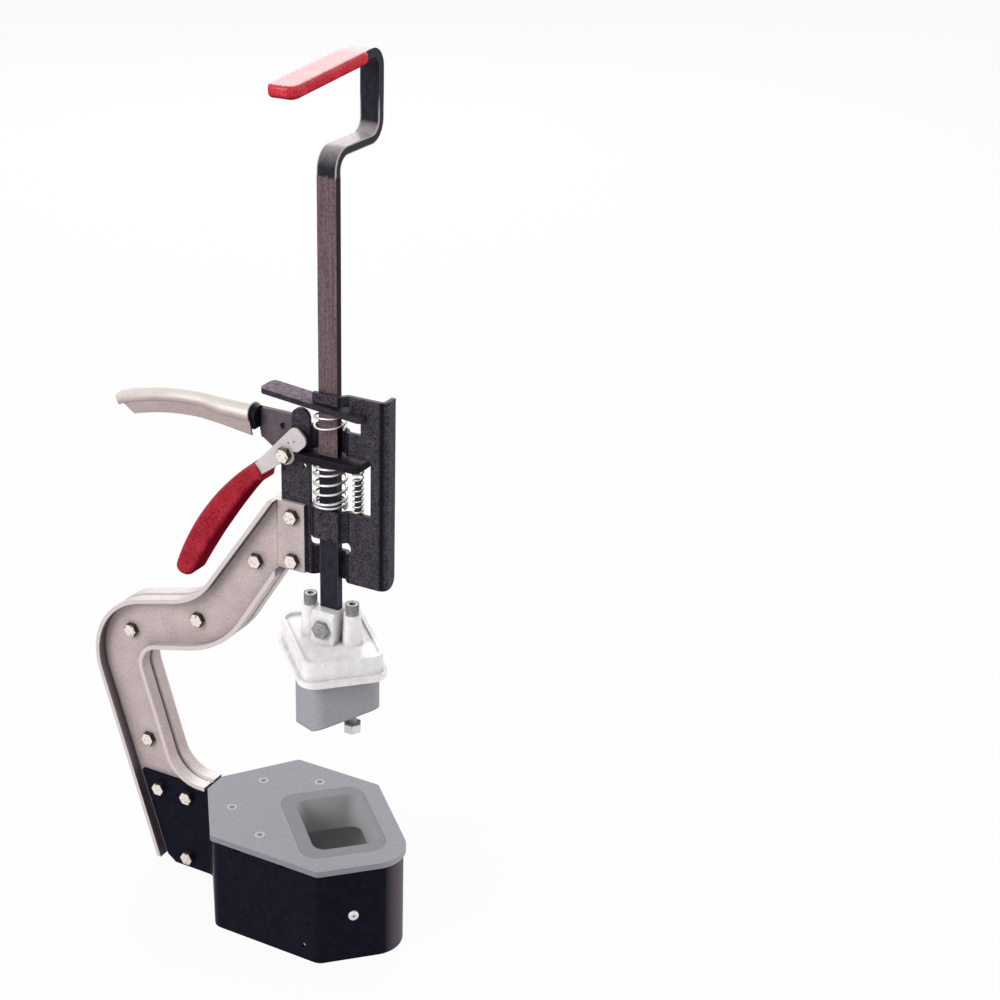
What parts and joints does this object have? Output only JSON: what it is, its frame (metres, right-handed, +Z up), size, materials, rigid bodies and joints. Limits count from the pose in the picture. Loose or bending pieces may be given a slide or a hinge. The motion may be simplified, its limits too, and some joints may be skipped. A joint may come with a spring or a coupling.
{
  "type": "gutter outlet punch",
  "caption": "Hand-squeezed outlet punch: a sprung trigger steps a flat ram bar and punch down into a die set in a bent-strip box, held by a pressed steel neck.",
  "frame": {"origin": "on the floor under the ram's axis, which is also the centre of the die seat", "axes": "+Z up along the ram, +X to the front away from the neck, -Y the side of the bolt heads"},
  "size_m": [0.2926, 0.133, 0.7023],
  "materials": {
    "black_paint": "satin black enamel with worn edges",
    "bar_black": "black paint, rubbed brown on the straight run",
    "silver_paint": "warm silver enamel",
    "zinc": "zinc plate",
    "red_vinyl": "soft red vinyl",
    "bright_steel": "bright plated steel",
    "satin_silver": "pale silver enamel",
    "plate_grey": "satin ground steel",
    "tool_steel": "dark ground tool steel",
    "cast_bright": "bright cast"
  },
  "bodies": {
    "frame": {"head_plate": "black_paint", "handle_arm": "black_paint", "handle_core": "black_paint", "die_box": "black_paint", "neck_plate_right": "silver_paint", "neck_plate_left": "silver_paint", "neck_bolts": "zinc", "neck_nuts": "zinc", "tab_bolts": "zinc", "tab_nuts": "zinc", "base_bolts": "zinc", "base_nuts": "zinc", "die_screws": "zinc", "box_screws": "zinc", "pivot_bolt": "zinc", "pivot_nut": "zinc", "pivot_spacers": "zinc", "drive_spring": "bright_steel", "aux_spring": "bright_steel", "release_spring": "bright_steel", "handle_shell": "satin_silver", "die_plate": "plate_grey", "die_insert": "tool_steel", "die_bolster": "tool_steel"},
    "ram": {"ram_bar": "bar_black", "top_grip": "red_vinyl", "punch_holder": "cast_bright", "punch": "tool_steel", "punch_bolts": "tool_steel", "punch_nuts": "zinc", "cross_bolt": "zinc", "cross_nut": "zinc"},
    "trigger": {"trigger_lever": "bright_steel", "trigger_grip": "red_vinyl"},
    "drive": {"drive_plate": "black_paint"},
    "release": {"release_plate": "black_paint"}
  },
  "joints": [
    {"name": "ram_slide", "type": "slide", "parent": "frame", "child": "ram", "axis": [0, 0, 1], "range_m": [-0.124, 0.015]},
    {"name": "trigger_hinge", "type": "hinge", "parent": "frame", "child": "trigger", "pos_m": [-0.034, 0, 0.4059], "axis": [0, 1, 0], "range_deg": [0, 28], "stiffness_Nm_per_rad": 2, "springref_deg": -17.19},
    {"name": "drive_slide", "type": "slide", "parent": "frame", "child": "drive", "axis": [0, 0, -1], "range_m": [0, 0.007], "deforming": ["drive_spring", "aux_spring"]},
    {"name": "release_hinge", "type": "hinge", "parent": "frame", "child": "release", "pos_m": [0.03, 0, 0.44546], "axis": [0, -1, 0], "range_deg": [0, 5.5], "stiffness_Nm_per_rad": 2, "springref_deg": -5.73, "deforming": ["release_spring"]}
  ],
  "couplings": [
    {"joint": "drive_slide", "follows": "trigger_hinge", "m_per_rad": 0.013}
  ]
}
